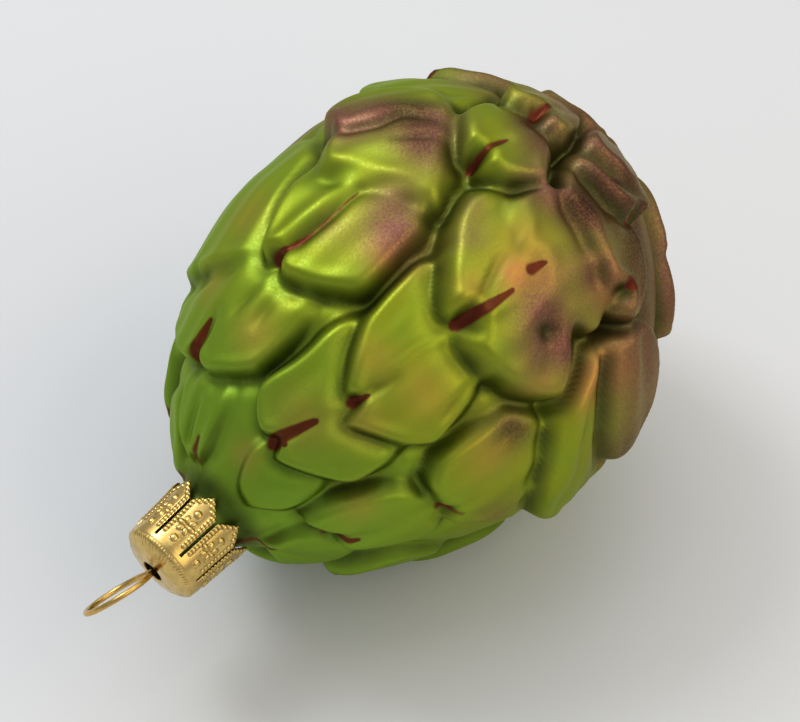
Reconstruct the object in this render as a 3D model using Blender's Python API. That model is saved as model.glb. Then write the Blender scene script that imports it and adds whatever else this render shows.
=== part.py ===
"""Blown-glass tree ornament in the shape of an artichoke, with its crown cap and hanging loop.

The ornament lies on its side. Its axis runs in the XZ plane from the cap, at -X, to the broad end.
Lengths below are millimetres and become metres when the objects are made.
Along the body, "station" is the distance from the base of the neck, measured on the axis.
Around the body, "turn" is the angle from the top, in degrees, towards -Y.
"""
import math

import bmesh
import bpy
import numpy as np

MM = 0.001

# Lie of the ornament: where its axis starts, and how far the broad end is raised.
AXIS_START = (-35.609, 1.004, 25.55)
AXIS_TILT = 10.0
ROLL = 5.0

# Glass body.
WALL = 1.0
MOUTH = -3.0
FAR_END = 87.8
PROFILE = [(MOUTH, 5.4), (5.0, 5.45), (7.0, 6.4), (9.0, 9.2), (12.0, 13.3), (16.0, 17.0), (22.0, 21.6),
           (32.0, 27.1), (44.0, 30.8), (56.0, 31.3), (66.0, 29.2), (74.0, 24.8), (81.0, 18.0),
           (86.0, 10.4), (FAR_END, 0.0)]
COLUMNS = 80
ROWS = 50
INNER_STEP = 2
FIRST_ROW = 6.6
SKIN_ALLOWANCE = 0.35

# Relief of the bracts, the leaf scales.
STAND = 1.25
REACH = 1.15
CORNER = 0.6
BLEND = 0.5
MOAT_DEPTH = 0.45
MOAT_WIDTH = 1.4
RIPPLE = 0.12
RELIEF_START = (6.0, 10.0)

# Crown cap of stamped sheet.
PETALS = 8
SHEET = 0.35
CAP_TURN = -5.0
SLOT_HALF_ANGLE = 2.2
SLOT_START = -2.9
PETAL_SIDE_END = 4.2
PETAL_TIP = 6.4
PETAL_FLARE = 0.5
CAP_RADIUS = 6.12
HOLE_RADIUS = 1.75
CAP_TOP = [(-5.4, HOLE_RADIUS), (-5.3, 3.2), (-4.95, 4.7), (-4.35, 5.6), (-3.6, 6.05),
           (SLOT_START, CAP_RADIUS)]

# Hanging loop of spring wire.
WIRE = 0.85
LOOP_RADIUS = 5.3
LOOP_REACH = 6.2
LOOP_TURN = 39.0
LOOP_LEAN = 9.5
WIRE_GAP = 0.68
LEG_SPREAD = 3.4
LEG_END = 4.5


def smooth_curve(xs, ys, x):
    """Monotone cubic through the points, with the slopes of Fritsch and Carlson."""
    xs = np.asarray(xs, float)
    ys = np.asarray(ys, float)
    step = np.diff(xs)
    slope = np.diff(ys) / step
    tangent = np.zeros_like(ys)
    for i in range(1, len(xs) - 1):
        if slope[i - 1] * slope[i] > 0:
            near = 2 * step[i] + step[i - 1]
            far = step[i] + 2 * step[i - 1]
            tangent[i] = (near + far) / (near / slope[i - 1] + far / slope[i])
    tangent[0] = slope[0]
    tangent[-1] = 2.2 * slope[-1]
    i = np.clip(np.searchsorted(xs, x) - 1, 0, len(xs) - 2)
    t = (x - xs[i]) / step[i]
    return (ys[i] * (1 + 2 * t) * (1 - t) ** 2 + tangent[i] * step[i] * t * (1 - t) ** 2
            + ys[i + 1] * t * t * (3 - 2 * t) + tangent[i + 1] * step[i] * t * t * (t - 1))


STATIONS = np.linspace(MOUTH, FAR_END, 3000)
RADII = np.maximum(smooth_curve([p[0] for p in PROFILE], [p[1] for p in PROFILE], STATIONS), 0.0)
ARCS = np.concatenate([[0.0], np.cumsum(np.hypot(np.diff(STATIONS), np.diff(RADII)))])
SLOPES = np.clip(np.gradient(RADII, STATIONS), -6.0, 3.0)


def radius_at(station):
    return np.interp(station, STATIONS, RADII)


def arc_at(station):
    return np.interp(station, STATIONS, ARCS)


def station_at(arc):
    return np.interp(arc, ARCS, STATIONS)


def flat_place(station, turn, origin):
    """Place on the unrolled body near the origin: mm across, and mm along from neck to far end."""
    offset = (turn - origin[1] + 180.0) % 360.0 - 180.0
    mean_radius = 0.5 * (radius_at(station) + radius_at(origin[0]))
    return np.radians(offset) * mean_radius, arc_at(station) - arc_at(origin[0])


class Bract:
    """One leaf scale: an outline around its tip, in stations and turns, and how it stands up."""

    def __init__(self, tip, lean, height, bevel, length, outline, groove=0.5):
        self.tip = tip
        self.lean = math.radians(lean)
        self.height = height
        self.bevel = bevel
        self.length = length
        self.outline = outline
        self.groove = groove


# The bracts of the side that is seen, from the neck to the far end, each with an outline of its own.
NAMED_BRACTS = {
    "neck_left": Bract((8.8, -28), 14, 0.9, 1.5, 14, [
        (9, -30), (8, -33), (8.5, -45), (12, -58), (18, -55), (20, -35), (18, -10), (12, -8), (9, -15),
        (8, -26)]),
    "neck_right": Bract((8.4, 38), 8, 0.9, 1.5, 14, [
        (13, 8), (9.4, 15), (8.6, 25), (8.4, 38), (8.6, 46), (9.7, 52), (12, 62), (16, 60), (20, 35),
        (16, 12)], 0.0),
    "low_right": Bract((15, 79), 7, 1.7, 2.0, 22, [
        (15.3, 79), (14, 76), (11.8, 63), (12.5, 57), (16, 54), (26, 62), (30, 85), (26, 100),
        (20.5, 97), (15.8, 94), (14.3, 84)]),
    "low_centre": Bract((15.6, 20), 11, 2.4, 1.8, 24, [
        (16, 20), (15.2, 17), (15, 10), (16.6, 2), (19.3, -3), (21, -1.5), (25, 4), (30.3, 5),
        (36, 12), (38, 28), (33, 45), (27.4, 55), (21, 57.5), (18.7, 56), (16.2, 45), (14, 29),
        (14, 23)]),
    "low_left": Bract((18.2, -37), 19, 1.9, 1.8, 24, [
        (18.6, -37), (17.2, -39), (17.5, -48), (19, -60), (22, -72), (28, -78), (36, -60), (38, -25),
        (33, 1), (27, 2), (22, 0), (19.4, -3), (17.3, -18), (16.8, -27), (17.2, -33)]),
    "centre": Bract((25.6, 29), 8, 2.7, 2.0, 26, [
        (26, 29), (24.7, 27), (25.5, 23), (27, 20), (30, 15), (34, 11.5), (40, 11), (46, 12),
        (52, 22), (52, 36), (44, 46), (38.5, 51.5), (31, 57.5), (29.5, 57), (27, 53), (25, 45),
        (23, 36), (22.5, 31)]),
    "right": Bract((27.8, 80), -3, 2.0, 2.0, 26, [
        (28, 80), (26.8, 78), (26.4, 72), (26.2, 66), (28, 60), (30, 57.5), (34, 57), (44, 58),
        (50, 90), (46, 112), (39.3, 110), (32.4, 98), (27.4, 88), (26.8, 84)]),
    "left": Bract((27.5, -56), 10, 2.1, 2.0, 26, [
        (28.2, -56), (27.6, -60), (28, -68), (30, -82), (38, -88), (54, -70), (54, -38), (41.5, -31),
        (34, -24.5), (32.3, -25), (30, -33), (28.5, -45), (27.6, -52)]),
    "upper_left": Bract((32.6, -19), 15, 2.7, 2.4, 26, [
        (33, -19), (31.4, -20.5), (31.8, -25), (34, -28.5), (41.5, -32.5), (50, -36), (58, -30),
        (60, -4), (50, 9.5), (45, 11.5), (37, 12), (34.5, 9.5), (32, 1), (31, -5), (30.4, -12),
        (31, -16)]),
    "outer_right": Bract((41, 110), -60, 2.6, 2.2, 60, [
        (58, 58), (50, 64.5), (46, 67), (44.5, 68), (42.5, 75), (39.8, 86), (39, 100), (39.5, 108),
        (42, 114), (47, 120), (55, 118), (62, 95), (62, 66)], 0.0),
    "heart": Bract((41.2, 32), 6, 4.0, 4.0, 26, [
        (42, 32), (40.3, 31), (39.5, 27), (41.3, 22), (45.5, 15), (50.6, 9), (56.7, 6), (64, 14),
        (64, 45), (58, 53), (54.6, 57.5), (52, 64), (48, 68.5), (45.6, 67), (42, 60), (39.3, 50),
        (38.6, 38), (39.2, 33)]),
    "upper_outer": Bract((50.5, -34), 38, 3.0, 3.6, 30, [
        (51, -34), (51.5, -37), (52, -42), (56, -46), (62, -44), (70, -30), (68, -8), (60, 2),
        (54, 8.5), (51, 10), (50, 8), (48.9, -1), (46.6, -11), (44.1, -23), (46.5, -30)], 0.0),
    "edge_right": Bract((53, 102), -75, 3.0, 2.2, 60, [
        (60, 61), (57.5, 62.5), (54, 72), (51.3, 85), (51.5, 98), (52.5, 104), (56, 108), (62, 104),
        (68, 90), (68, 66)], 0.0),
    "upper_right": Bract((54.4, 33), 16, 2.8, 2.4, 17, [
        (55.2, 33.5), (53, 31.5), (53.6, 28.5), (55.5, 23.5), (58.7, 17), (63, 16), (70, 25),
        (70, 48), (64, 58), (58, 61), (55.3, 59), (53.6, 51), (52.6, 45), (52.5, 36)], 0.0),
    "top": Bract((59.4, 4), 7, 3.0, 2.8, 19, [
        (60.3, 4.3), (58.6, 2.5), (59.2, -1), (62.2, -8), (66, -13.5), (73, -13), (80, 2), (74, 14),
        (68, 21), (66, 23.5), (63.6, 23.5), (59.2, 15), (58.3, 10), (58.3, 6)]),
    "top_left": Bract((60.5, -44), 30, 1.9, 2.2, 20, [
        (61, -44.5), (59.8, -41.5), (60.6, -36), (63, -25), (65.2, -14), (68.5, -11), (74, -13),
        (80, -25), (78, -48), (68, -58), (61, -50)], 0.0),
    "top_right": Bract((64.4, 55), -15, 2.2, 2.2, 20, [
        (63.2, 54.6), (62.0, 53.8), (60, 56), (59.5, 61), (62, 67), (67, 67), (74, 58), (76, 35),
        (75, 18), (69.5, 19), (66, 22.5), (63.2, 29), (62.2, 37), (61.4, 46), (60.5, 51)], 0.0),
    "end_left": Bract((73.4, 2), 5, 2.8, 2.0, 16, [
        (74.2, 2.3), (72.4, 0), (71.4, -7), (73, -15), (80, -18), (85, 0), (80, 15), (75, 18),
        (72.3, 16), (71.4, 9), (72.2, 4)]),
    "end_right": Bract((73.2, 47), -30, 2.9, 1.8, 16, [
        (74.2, 46.5), (72.3, 46), (70.6, 38), (70.5, 27), (72.5, 16), (78, 12), (85, 20), (85, 42),
        (79, 54), (74.5, 52)], 0.0),
    "last_right": Bract((74.5, 30), 0, 3.2, 2.0, 15, [
        (77, 13), (74.6, 21), (75.2, 31), (76.2, 41), (79, 47), (85, 44), (87, 25), (82, 12)], 0.0),
}

# The other bracts share one shield outline, mm across and along from the tip.
# Each row gives station, height, size and length of its bracts, and their turns.
SHIELD = [(0, -3.2), (-2.5, -1), (-6.5, 2.6), (-9.4, 6.8), (-9.6, 12), (-7, 19), (0, 22), (7.5, 19),
          (9.8, 11.5), (9.2, 6.2), (6.2, 2.4), (2.2, -1)]
SHIELD_LEAN = 8.0
SHIELD_BEVEL = 2.0
ROWS_OF_BRACTS = [
    (8.0, 0.9, 0.62, 24, [95, 155, 215, 275]),
    (16.5, 1.8, 0.85, 24, [130, 175, 219, 262]),
    (28.0, 2.1, 1.0, 24, [142, 200, 241]),
    (37.5, 2.6, 0.95, 24, [174]),
    (41.5, 2.2, 1.1, 24, [147, 221, 257]),
    (42.5, 0.9, 1.05, 24, [290]),
    (54.5, 2.4, 1.05, 24, [158, 193]),
    (54.0, 1.9, 1.15, 24, [235]),
    (54.0, 1.3, 1.15, 24, [272]),
    (64.0, 2.2, 1.05, 24, [122, 176, 214, 252]),
    (64.5, 0.9, 1.0, 24, [288]),
    (74.0, 2.0, 1.05, 24, [100, 150, 195, 236, 276, 312]),
    (81.0, 1.7, 0.85, 20, [82, 128, 174, 216, 258, 303, 345]),
    (85.3, 1.1, 0.55, 22, [20, 92, 164, 236, 308]),
]

# Folds and ridges pressed into the bracts: a line of (station, turn), its half width and its height.
FOLDS = [
    ([(50.5, -34), (52.9, -26), (56.2, -21), (59.3, -19), (61.4, -13)], 0.9, -1.1),
    ([(52.5, -36), (55, -29), (58.5, -25), (61, -20)], 1.3, 0.5),
    ([(55.6, -14), (59.8, -6)], 0.55, -0.8),
    ([(41.5, 31.5), (45.6, 30.5), (51.8, 28.5)], 1.0, -1.0),
    ([(41.0, 33), (44.7, 34), (49.6, 36)], 0.9, 0.6),
    ([(49.8, 46.5), (51, 49)], 1.2, -1.1),
    ([(50.5, 55), (52, 53)], 2.2, 0.5),
    ([(60, 4), (65.5, 6)], 0.8, -0.7),
    ([(58.7, 18.5), (55.6, 25), (54.6, 28)], 0.7, 0.5),
    ([(54.6, 28), (57.3, 27), (59.6, 24.5)], 0.6, 0.4),
    ([(70, 21), (66.7, 29), (66, 37), (63.4, 47), (62.1, 51)], 2.4, 1.0),
    ([(72.6, 20), (72.3, 31), (71.9, 42)], 1.2, 0.5),
    ([(37.9, 46), (32.9, 49)], 0.55, -0.7),
    ([(30, 29), (36, 30), (41, 33)], 0.8, 0.45),
    ([(26, 29.5), (31, 31)], 0.8, -0.6),
    ([(38.5, 62), (39.5, 67)], 2.6, -0.8),
    ([(32.8, -17.5), (36, -13.8), (40.8, -11.5), (46, -11)], 0.9, -1.2),
    ([(33, -22), (37, -18), (42, -15.5), (46, -15)], 1.3, 0.45),
    ([(18.5, -36), (21, -34.5), (24.2, -33)], 0.8, -0.9),
    ([(25, -24), (28.9, -20)], 0.9, -0.55),
    ([(24.9, -14), (28.4, -13)], 0.9, -0.45),
    ([(22.7, -6), (30.5, 0)], 1.6, -0.4),
    ([(9.8, -38), (15, -32)], 0.8, -0.7),
    ([(15.5, 20.5), (18, 22.5), (21.3, 25.5)], 0.9, -0.4),
    ([(63.5, 56), (61.5, 60)], 2.2, 0.9),
    ([(56, 57), (51, 67), (46, 80), (43.5, 92)], 1.7, 1.1),
    ([(60, 61), (57, 63), (54, 72), (51.3, 85), (51.4, 104)], 0.9, -1.2),
    ([(61.5, 66), (58, 76), (56, 88), (56.5, 98)], 1.7, 0.9),
    ([(46, 66), (44.5, 68), (42.5, 75), (39.8, 86)], 0.9, -0.6),
    ([(69.5, 19), (65.5, 24), (63.5, 32), (62.7, 39)], 1.1, -0.9),
    ([(75.5, 14), (73.8, 22), (74.8, 32), (75.4, 41)], 1.1, -0.7),
]


def unrolled_line(line, station, turn):
    """The line and all the points on one unrolled patch of the body."""
    origin = tuple(np.mean(line, axis=0))
    x, y = flat_place(station, turn, origin)
    ends = [flat_place(s, t, origin) for s, t in line]
    return x, y, ends


def distance_to_line(station, turn, line):
    """Distance to the line, in mm, and the share of the line's length at the nearest point."""
    x, y, ends = unrolled_line(line, station, turn)
    lengths = [math.dist(a, b) for a, b in zip(ends, ends[1:])]
    nearest = np.full(np.shape(x), 1e9)
    place = np.zeros(np.shape(x))
    gone = 0.0
    for (ax, ay), (bx, by), length in zip(ends, ends[1:], lengths):
        t = np.clip(((x - ax) * (bx - ax) + (y - ay) * (by - ay)) / length ** 2, 0.0, 1.0)
        distance = np.hypot(x - ax - t * (bx - ax), y - ay - t * (by - ay))
        place = np.where(distance < nearest, (gone + t * length) / sum(lengths), place)
        nearest = np.minimum(nearest, distance)
        gone += length
    return nearest, place


def shared_bract(station, turn, height, size, length, sway):
    """A bract of the rows: the shield, leaned a little, with its outline turned into stations."""
    lean = SHIELD_LEAN + 4 * sway
    slant = math.radians(lean)
    outline = []
    for across, along in SHIELD:
        x = (across * math.cos(slant) + along * math.sin(slant)) * size
        y = (along * math.cos(slant) - across * math.sin(slant)) * size
        place = float(station_at(arc_at(station) + y))
        mean_radius = 0.5 * (radius_at(place) + radius_at(station))
        outline.append((place, turn + math.degrees(x / mean_radius)))
    bevel = SHIELD_BEVEL * min(1.0, size + 0.2)
    return Bract((station, turn), lean, height, bevel, length * size, outline)


def all_bracts():
    """Every bract, from the neck to the far end, so that each lies on those before it."""
    bracts = list(NAMED_BRACTS.values())
    for station, height, size, length, turns in ROWS_OF_BRACTS:
        for k, turn in enumerate(turns):
            sway = math.sin(12.9 * (k + 1) + station)
            bracts.append(shared_bract(station + 0.6 * sway, turn + 1.5 * sway, height, size, length,
                                       sway))
    return sorted(bracts, key=lambda bract: bract.tip[0])


def corners_cut(outline):
    """The closed outline with each corner cut off at a quarter of its sides, twice over."""
    points = np.asarray(outline, float)
    for _ in range(2):
        after = np.roll(points, -1, axis=0)
        points = np.stack([0.75 * points + 0.25 * after, 0.25 * points + 0.75 * after], axis=1).reshape(-1, 2)
    return [tuple(point) for point in points]


def drawn_in(outline, amount):
    """The outline moved inwards, so that its corners come out round when it grows back."""
    points = np.asarray(outline, float)
    turned = np.roll(points, -1, axis=0)
    area = 0.5 * np.sum(points[:, 0] * turned[:, 1] - turned[:, 0] * points[:, 1])
    side = 1.0 if area > 0 else -1.0
    moved = []
    for before, here, after in zip(np.roll(points, 1, axis=0), points, turned):
        first = (here - before) / np.linalg.norm(here - before)
        second = (after - here) / np.linalg.norm(after - here)
        normal = side * np.array([-first[1], first[0]])
        bisector = normal + side * np.array([-second[1], second[0]])
        bisector /= max(np.linalg.norm(bisector), 1e-6)
        moved.append(here + bisector * amount / max(bisector @ normal, 0.5))
    return moved


def depth_inside(x, y, outline):
    """Distance to the outline, positive inside it."""
    nearest = np.full(x.shape, 1e9)
    inside = np.zeros(x.shape, bool)
    for (ax, ay), (bx, by) in zip(outline, outline[1:] + outline[:1]):
        ex, ey = bx - ax, by - ay
        t = np.clip(((x - ax) * ex + (y - ay) * ey) / (ex * ex + ey * ey + 1e-12), 0.0, 1.0)
        nearest = np.minimum(nearest, np.hypot(x - ax - t * ex, y - ay - t * ey))
        crossing = ((ay > y) != (by > y)) & (x < ex * (y - ay) / (ey or 1e-12) + ax)
        inside ^= crossing
    return np.where(inside, nearest, -nearest)


def bract_form(bract, x, y, depth):
    """Height that one bract reaches above the base form: raised tip, rim, midrib groove, ripple."""
    along = x * math.sin(bract.lean) + y * math.cos(bract.lean)
    across = x * math.cos(bract.lean) - y * math.sin(bract.lean)
    fall = np.clip(1 - np.maximum(along, 0.0) / (REACH * bract.length), 0.0, 1.0)
    crown = -0.6 * np.clip(across / 10.0, -1.0, 1.0) ** 2
    rim = 0.3 * np.exp(-((depth - bract.bevel) / 1.0) ** 2) * fall
    groove = (-0.9 * bract.groove * np.exp(-(across / 0.8) ** 2)
              * np.clip((along + 1.5) / 2.0, 0.0, 1.0) * np.clip(1 - along / 9.0, 0.0, 1.0))
    ripple = RIPPLE * np.cos(across * 1.25 + 0.12 * along + bract.tip[1]) * np.clip(depth / 3.0, 0.0, 1.0)
    return STAND * bract.height * fall ** 0.8 + crown + rim + groove + ripple


def lay_bract(height, station, turn, bract):
    """Adds one bract on top of what lies below it, with a rounded wall along its outline."""
    x, y = flat_place(station, turn, bract.tip)
    outline = [flat_place(s, t, bract.tip) for s, t in bract.outline]
    low = np.min(outline, axis=0) - 3.0
    high = np.max(outline, axis=0) + 3.0
    near = (x > low[0]) & (x < high[0]) & (y > low[1]) & (y < high[1])
    depth = depth_inside(x[near], y[near], drawn_in(corners_cut(outline), CORNER)) + CORNER
    t = np.clip(depth / bract.bevel, 0.0, 1.0)
    wall = 0.55 * t * t * (3 - 2 * t) + 0.45 * (1 - (1 - t) ** 2)
    rise = bract_form(bract, x[near], y[near], depth) - height[near]
    moat = MOAT_DEPTH * np.clip(rise / 1.5, 0.0, 1.0) * np.exp(-(np.minimum(depth, 0.0) / MOAT_WIDTH) ** 2)
    below = height[near] - moat
    soft = (np.clip(rise, -BLEND, BLEND) + BLEND) ** 2 / (4 * BLEND)
    rise = np.where(rise > BLEND, rise, soft) + moat
    height[near] = np.where(depth > 0, below + rise * wall, below)


def relief(station, turn):
    """Height of the bracts and folds above the base form."""
    height = np.zeros(station.shape)
    for bract in all_bracts():
        lay_bract(height, station, turn, bract)
    for line, width, rise in FOLDS:
        distance, place = distance_to_line(station, turn, line)
        swell = 0.35 + 0.65 * np.sin(np.pi * np.clip(0.85 * place + 0.1, 0.0, 1.0))
        height += rise * swell * np.exp(-(distance / width) ** 2)
    start, full = RELIEF_START
    return height * np.clip((station - start) / (full - start), 0.0, 1.0)


def axis_directions():
    """Unit vectors along the axis, up and to +Y of the lying ornament."""
    tilt = math.radians(AXIS_TILT)
    return (np.array([math.cos(tilt), 0.0, math.sin(tilt)]),
            np.array([-math.sin(tilt), 0.0, math.cos(tilt)]),
            np.array([0.0, 1.0, 0.0]))


def on_body(station, radius, turn):
    """World points, in mm, from station, radius and turn."""
    along, up, side = axis_directions()
    angle = np.radians(turn)
    station = np.asarray(station, float)[..., None]
    rise = np.asarray(radius * np.cos(angle), float)[..., None]
    sway = np.asarray(radius * np.sin(angle), float)[..., None]
    return np.array(AXIS_START) + station * along + rise * up - sway * side


def body_surface(stations, turns, height):
    """Points on the glass at a height along the normal of the base form."""
    slope = np.interp(stations, STATIONS, SLOPES)
    stretch = np.sqrt(1 + slope * slope)
    return on_body(stations - height * slope / stretch, radius_at(stations) + height / stretch,
                   turns + ROLL)


def material(name, colour, roughness, metallic):
    made = bpy.data.materials.new(name)
    made.use_nodes = True
    shader = made.node_tree.nodes["Principled BSDF"]
    shader.inputs["Base Color"].default_value = (*colour, 1.0)
    shader.inputs["Roughness"].default_value = roughness
    shader.inputs["Metallic"].default_value = metallic
    return made


def add_object(name, mesh, finish):
    made = bpy.data.objects.new(name, mesh)
    made.data.materials.append(finish)
    bpy.context.collection.objects.link(made)
    return made


def glass_grid():
    """Stations and turns of the outer skin's vertices: the neck's few rings, then even rows."""
    neck = np.array([MOUTH, 0.0, 4.0, 5.6])
    first = arc_at(FIRST_ROW)
    arcs = first + (ARCS[-1] - first) * np.arange(ROWS) / ROWS
    stations = np.concatenate([neck, np.interp(arcs, ARCS, STATIONS)])
    turns = np.arange(COLUMNS) * 360.0 / COLUMNS
    return np.meshgrid(stations, turns, indexing="ij")


def softened_relief(stations, turns):
    """Relief averaged over each vertex's own patch, and raised a little to hold its crests."""
    arcs = arc_at(stations)
    row_step = ARCS[-1] / ROWS / 3
    turn_step = 360.0 / COLUMNS / 3
    total = np.zeros(stations.shape)
    for row_shift in (-row_step, 0.0, row_step):
        for turn_shift in (-turn_step, 0.0, turn_step):
            moved = np.interp(arcs + row_shift, ARCS, STATIONS)
            total += relief(moved, turns + turn_shift)
    return total / 9 + SKIN_ALLOWANCE * np.clip(stations / RELIEF_START[1], 0.0, 1.0)


def lowest_nearby(height):
    """Least height among each vertex and its neighbours, around the body and along it."""
    lowest = height
    for shift in (-1, 1):
        lowest = np.minimum(lowest, np.roll(height, shift, axis=1))
    around = lowest
    padded = np.pad(around, ((1, 1), (0, 0)), mode="edge")
    return np.minimum(around, np.minimum(padded[:-2], padded[2:]))


def add_skin(mesh, stations, turns, height, drop, flip):
    """One closed-ended skin of the shell; returns its open ring at the mouth."""
    points = body_surface(stations, turns, height) * MM
    rings = [[mesh.verts.new(point) for point in row] for row in points]
    pole = mesh.verts.new(on_body(FAR_END - drop, 0.0, 0.0) * MM)
    for lower, upper in zip(rings, rings[1:]):
        add_band(mesh, lower, upper, flip)
    count = len(rings[-1])
    for k in range(count):
        corners = [rings[-1][k], pole, rings[-1][(k + 1) % count]]
        mesh.faces.new(corners[::-1] if flip else corners)
    return rings[0]


def make_glass_body():
    """Shell of blown glass, open at the neck, ground flat where it rests."""
    stations, turns = glass_grid()
    height = softened_relief(stations, turns)
    mesh = bmesh.new()
    outer = add_skin(mesh, stations, turns, height, 0.0, False)
    coarse = (slice(None, None, INNER_STEP), slice(None, None, INNER_STEP))
    inner_height = lowest_nearby(height)[coarse] - WALL
    inner = add_skin(mesh, stations[coarse], turns[coarse], inner_height, 1.5 * WALL, True)
    for k, vertex in enumerate(inner):
        start = INNER_STEP * k
        outer_side = [outer[(start + step) % COLUMNS] for step in range(INNER_STEP + 1)]
        mesh.faces.new([vertex] + outer_side + [inner[(k + 1) % len(inner)]])
    bmesh.ops.triangulate(mesh, faces=mesh.faces[:])
    cut = bmesh.ops.bisect_plane(mesh, geom=mesh.verts[:] + mesh.edges[:] + mesh.faces[:],
                                 plane_co=(0, 0, 0), plane_no=(0, 0, 1), clear_inner=True)
    rim = [item for item in cut["geom_cut"] if isinstance(item, bmesh.types.BMEdge)]
    bmesh.ops.holes_fill(mesh, edges=rim)
    bmesh.ops.recalc_face_normals(mesh, faces=mesh.faces[:])
    data = bpy.data.meshes.new("glass_body")
    mesh.to_mesh(data)
    mesh.free()
    return add_object("glass_body", data, material("lacquered glass", (0.20, 0.32, 0.04), 0.38, 0.6))


def add_band(mesh, lower, upper, flip):
    """Quads between two closed rings of vertices."""
    count = len(lower)
    for k in range(count):
        corners = [lower[k], upper[k], upper[(k + 1) % count], lower[(k + 1) % count]]
        mesh.faces.new(corners[::-1] if flip else corners)


def cap_columns():
    """Angles around the cap, in degrees, and for each gap between them whether it is a slot."""
    angles = []
    slots = []
    pitch = 360.0 / PETALS
    for petal in range(PETALS):
        left = petal * pitch + SLOT_HALF_ANGLE
        right = (petal + 1) * pitch - SLOT_HALF_ANGLE
        for step in range(4):
            angles.append(left + (right - left) * step / 4)
            slots.append(False)
        angles.append(right)
        slots.append(True)
    return angles, slots


def make_crown_cap():
    """Stamped cup with a hole on top and eight pointed petals around the neck."""
    angles, slots = cap_columns()
    pitch = 360.0 / PETALS
    mesh = bmesh.new()
    rings = []
    for station, radius in CAP_TOP:
        turns = np.array(angles) + CAP_TURN
        rings.append([mesh.verts.new(p * MM) for p in on_body(station, np.full(len(turns), radius), turns)])
    for share in (0.25, 0.5, 0.75, 1.0):
        ring = []
        for angle in angles:
            off_centre = abs((angle % pitch) - pitch / 2) / (pitch / 2)
            tip = PETAL_TIP - (PETAL_TIP - PETAL_SIDE_END) * off_centre
            station = SLOT_START + (tip - SLOT_START) * share
            flare = PETAL_FLARE * ((station - SLOT_START) / (PETAL_TIP - SLOT_START)) ** 2
            point = on_body(station, CAP_RADIUS + flare, angle + CAP_TURN)
            ring.append(mesh.verts.new(point * MM))
        rings.append(ring)
    for row, (lower, upper) in enumerate(zip(rings, rings[1:])):
        for k in range(len(angles)):
            if row >= len(CAP_TOP) - 1 and slots[k]:
                continue
            after = (k + 1) % len(angles)
            mesh.faces.new([lower[k], upper[k], upper[after], lower[after]])
    bmesh.ops.triangulate(mesh, faces=mesh.faces[:])
    data = bpy.data.meshes.new("crown_cap")
    mesh.to_mesh(data)
    mesh.free()
    made = add_object("crown_cap", data, material("stamped brass", (0.75, 0.52, 0.20), 0.3, 1.0))
    thickness = made.modifiers.new("sheet", "SOLIDIFY")
    thickness.thickness = SHEET * MM
    thickness.offset = -1.0
    thickness.use_even_offset = True
    return made


def loop_route():
    """Centre line of the wire: leg, hole, ring, hole, leg."""
    along, up, side = axis_directions()
    cross = math.cos(math.radians(LOOP_TURN)) * up - math.sin(math.radians(LOOP_TURN)) * side
    square = math.sin(math.radians(LOOP_TURN)) * up + math.cos(math.radians(LOOP_TURN)) * side
    lean = math.radians(LOOP_LEAN)
    outward = -math.cos(lean) * along + math.sin(lean) * square
    hole = np.array(AXIS_START) + CAP_TOP[0][0] * along
    centre = hole + LOOP_REACH * outward
    half = []
    start = 24.0
    for step in range(13):
        angle = math.radians(start + (180.0 - start) * step / 12)
        half.append(centre - LOOP_RADIUS * math.cos(angle) * outward
                    + LOOP_RADIUS * math.sin(angle) * cross)
    neck_side = [np.array(AXIS_START) + LEG_END * along + LEG_SPREAD * cross,
                 np.array(AXIS_START) - 0.5 * along + 0.55 * LEG_SPREAD * cross,
                 hole + 0.9 * along + 1.2 * WIRE_GAP * cross,
                 hole - 0.3 * along + WIRE_GAP * cross]
    right = neck_side + half
    mirrored = []
    for point in right[::-1][1:]:
        mirrored.append(point - 2 * np.dot(point - hole, cross) * cross)
    return right + mirrored


def make_hanging_loop():
    """One bent wire: the loop outside and the two sprung legs inside the neck."""
    curve = bpy.data.curves.new("hanging_loop", "CURVE")
    curve.dimensions = "3D"
    curve.bevel_depth = WIRE / 2 * MM
    curve.bevel_resolution = 2
    curve.use_fill_caps = True
    route = loop_route()
    spline = curve.splines.new("POLY")
    spline.points.add(len(route) - 1)
    for place, point in zip(spline.points, route):
        place.co = (*(point * MM), 1.0)
    return add_object("hanging_loop", curve, material("gilt wire", (0.70, 0.50, 0.22), 0.25, 1.0))


def main():
    for old in list(bpy.data.objects):
        bpy.data.objects.remove(old)
    for made in (make_glass_body(), make_crown_cap()):
        made.data.shade_smooth()
    make_hanging_loop()


main()
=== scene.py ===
"""Looks of the artichoke-shaped glass ornament: lacquered bracts, stamped cap, wire loop, pale studio.

Lengths are millimetres until a mesh is made. Along the body, "station" is the distance from the base
of the neck, measured on the axis, and "turn" is the angle around it, in degrees from the top.
"""
import math

import bpy
import numpy as np
from mathutils import Matrix, Vector


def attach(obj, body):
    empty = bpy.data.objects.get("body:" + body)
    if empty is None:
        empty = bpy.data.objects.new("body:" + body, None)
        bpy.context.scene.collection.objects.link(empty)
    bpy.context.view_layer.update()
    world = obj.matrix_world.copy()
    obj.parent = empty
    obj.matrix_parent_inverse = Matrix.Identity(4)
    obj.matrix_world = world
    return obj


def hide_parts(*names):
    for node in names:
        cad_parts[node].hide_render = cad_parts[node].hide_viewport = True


MM = 0.001

# Lie of the ornament, as in the CAD model.
AXIS_START = (-35.609, 1.004, 25.55)
AXIS_TILT = 10.0
ROLL = 5.0

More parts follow.
